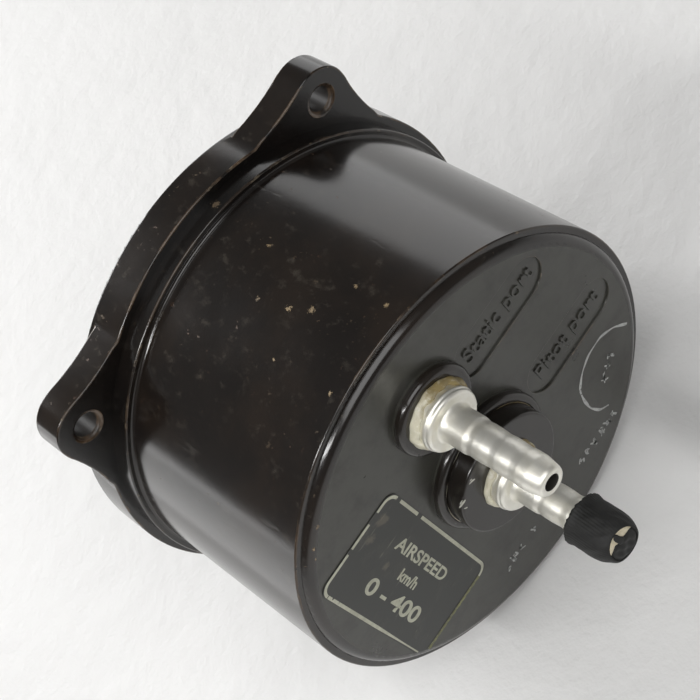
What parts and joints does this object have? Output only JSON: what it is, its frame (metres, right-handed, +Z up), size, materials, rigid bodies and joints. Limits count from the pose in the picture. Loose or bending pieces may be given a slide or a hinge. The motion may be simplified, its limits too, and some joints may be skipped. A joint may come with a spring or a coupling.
{
  "type": "airspeed indicator",
  "caption": "Round aircraft airspeed indicator: moulded case with fixing ears, glazed dial, pressure capsule driving a geared pointer, and barbed pitot and static nozzles at the back.",
  "frame": {"origin": "centre of the fixing-hole circle, on the back face of the ears that seats on the panel", "axes": "+Y runs along the case axis from the dial to the nozzles, +Z is up on the dial, +X is to the right as the dial is read"},
  "size_m": [0.086, 0.0816, 0.086],
  "materials": {
    "bakelite": "black-brown moulded thermoset with worn tan edges",
    "black_paint": "matt black paint",
    "glass": "clear window glass",
    "gasket_rubber": "plain black rubber",
    "white_paint": "white paint",
    "brass": "turned and milled brass",
    "bronze": "thin rolled spring bronze",
    "steel": "bright steel",
    "fibre": "fibre washer under yellowish sealing varnish",
    "aluminium": "satin turned aluminium",
    "cap_rubber": "matt black ribbed rubber",
    "cap_stopper": "cream stopper",
    "label": "thin black transfer with a worn off-white border"
  },
  "bodies": {
    "case": {"case": "bakelite", "retaining_ring": "black_paint", "glass": "glass", "glass_gasket": "gasket_rubber", "dial": "black_paint", "dial_spacers": "brass", "dial_screws": "steel", "hairspring": "bronze", "hairspring_stud": "brass", "front_plate": "brass", "rear_plate": "brass", "pillars": "brass", "plate_screws": "steel", "case_screws": "steel", "pivot_bushes": "bronze", "rocker_brackets": "brass", "bracket_screws": "steel", "front_diaphragm": "bronze", "rear_diaphragm": "bronze", "capsule_stem": "brass", "centre_plug": "bakelite", "plug_gasket": "gasket_rubber", "static_washer": "fibre", "static_nozzle": "aluminium", "pitot_washer": "fibre", "pitot_nozzle": "aluminium", "rear_label": "label"},
    "sector": {"sector_gear": "brass", "sector_shaft": "steel", "sector_pin": "steel"},
    "pointer": {"pointer": "white_paint", "pointer_boss": "brass", "pointer_shaft": "steel", "pinion": "steel", "hairspring_collet": "brass"},
    "rocker": {"rocker_shaft": "steel", "capsule_lever": "steel", "drive_finger": "steel"},
    "capsule": {"capsule_stud": "brass"},
    "cap": {"dust_cap": "cap_rubber", "cap_stopper": "cap_stopper"}
  },
  "joints": [
    {"name": "sector_turn", "type": "hinge", "parent": "case", "child": "sector", "pos_m": [-0.02353, 0, -0.00903], "axis": [0, -1, 0], "range_deg": [0, 37.5]},
    {"name": "pointer_turn", "type": "hinge", "parent": "case", "child": "pointer", "pos_m": [0, 0, 0], "axis": [0, 1, 0], "range_deg": [0, 300], "stiffness_Nm_per_rad": 0.00001, "springref_deg": -28.65, "deforming": ["hairspring"]},
    {"name": "rocker_turn", "type": "hinge", "parent": "case", "child": "rocker", "pos_m": [0, 0.021, -0.00778], "axis": [1, 0, 0], "range_deg": [0, 15]},
    {"name": "capsule_expand", "type": "slide", "parent": "case", "child": "capsule", "axis": [0, -1, 0], "range_m": [0, 0.00203], "deforming": ["front_diaphragm"]},
    {"name": "cap_pull", "type": "slide", "parent": "case", "child": "cap", "axis": [0, 1, 0], "range_m": [0, 0.03]}
  ],
  "couplings": [
    {"joint": "pointer_turn", "follows": "sector_turn", "ratio": 8},
    {"joint": "rocker_turn", "follows": "sector_turn", "ratio": 0.4},
    {"joint": "capsule_expand", "follows": "sector_turn", "m_per_rad": 0.0031035}
  ]
}
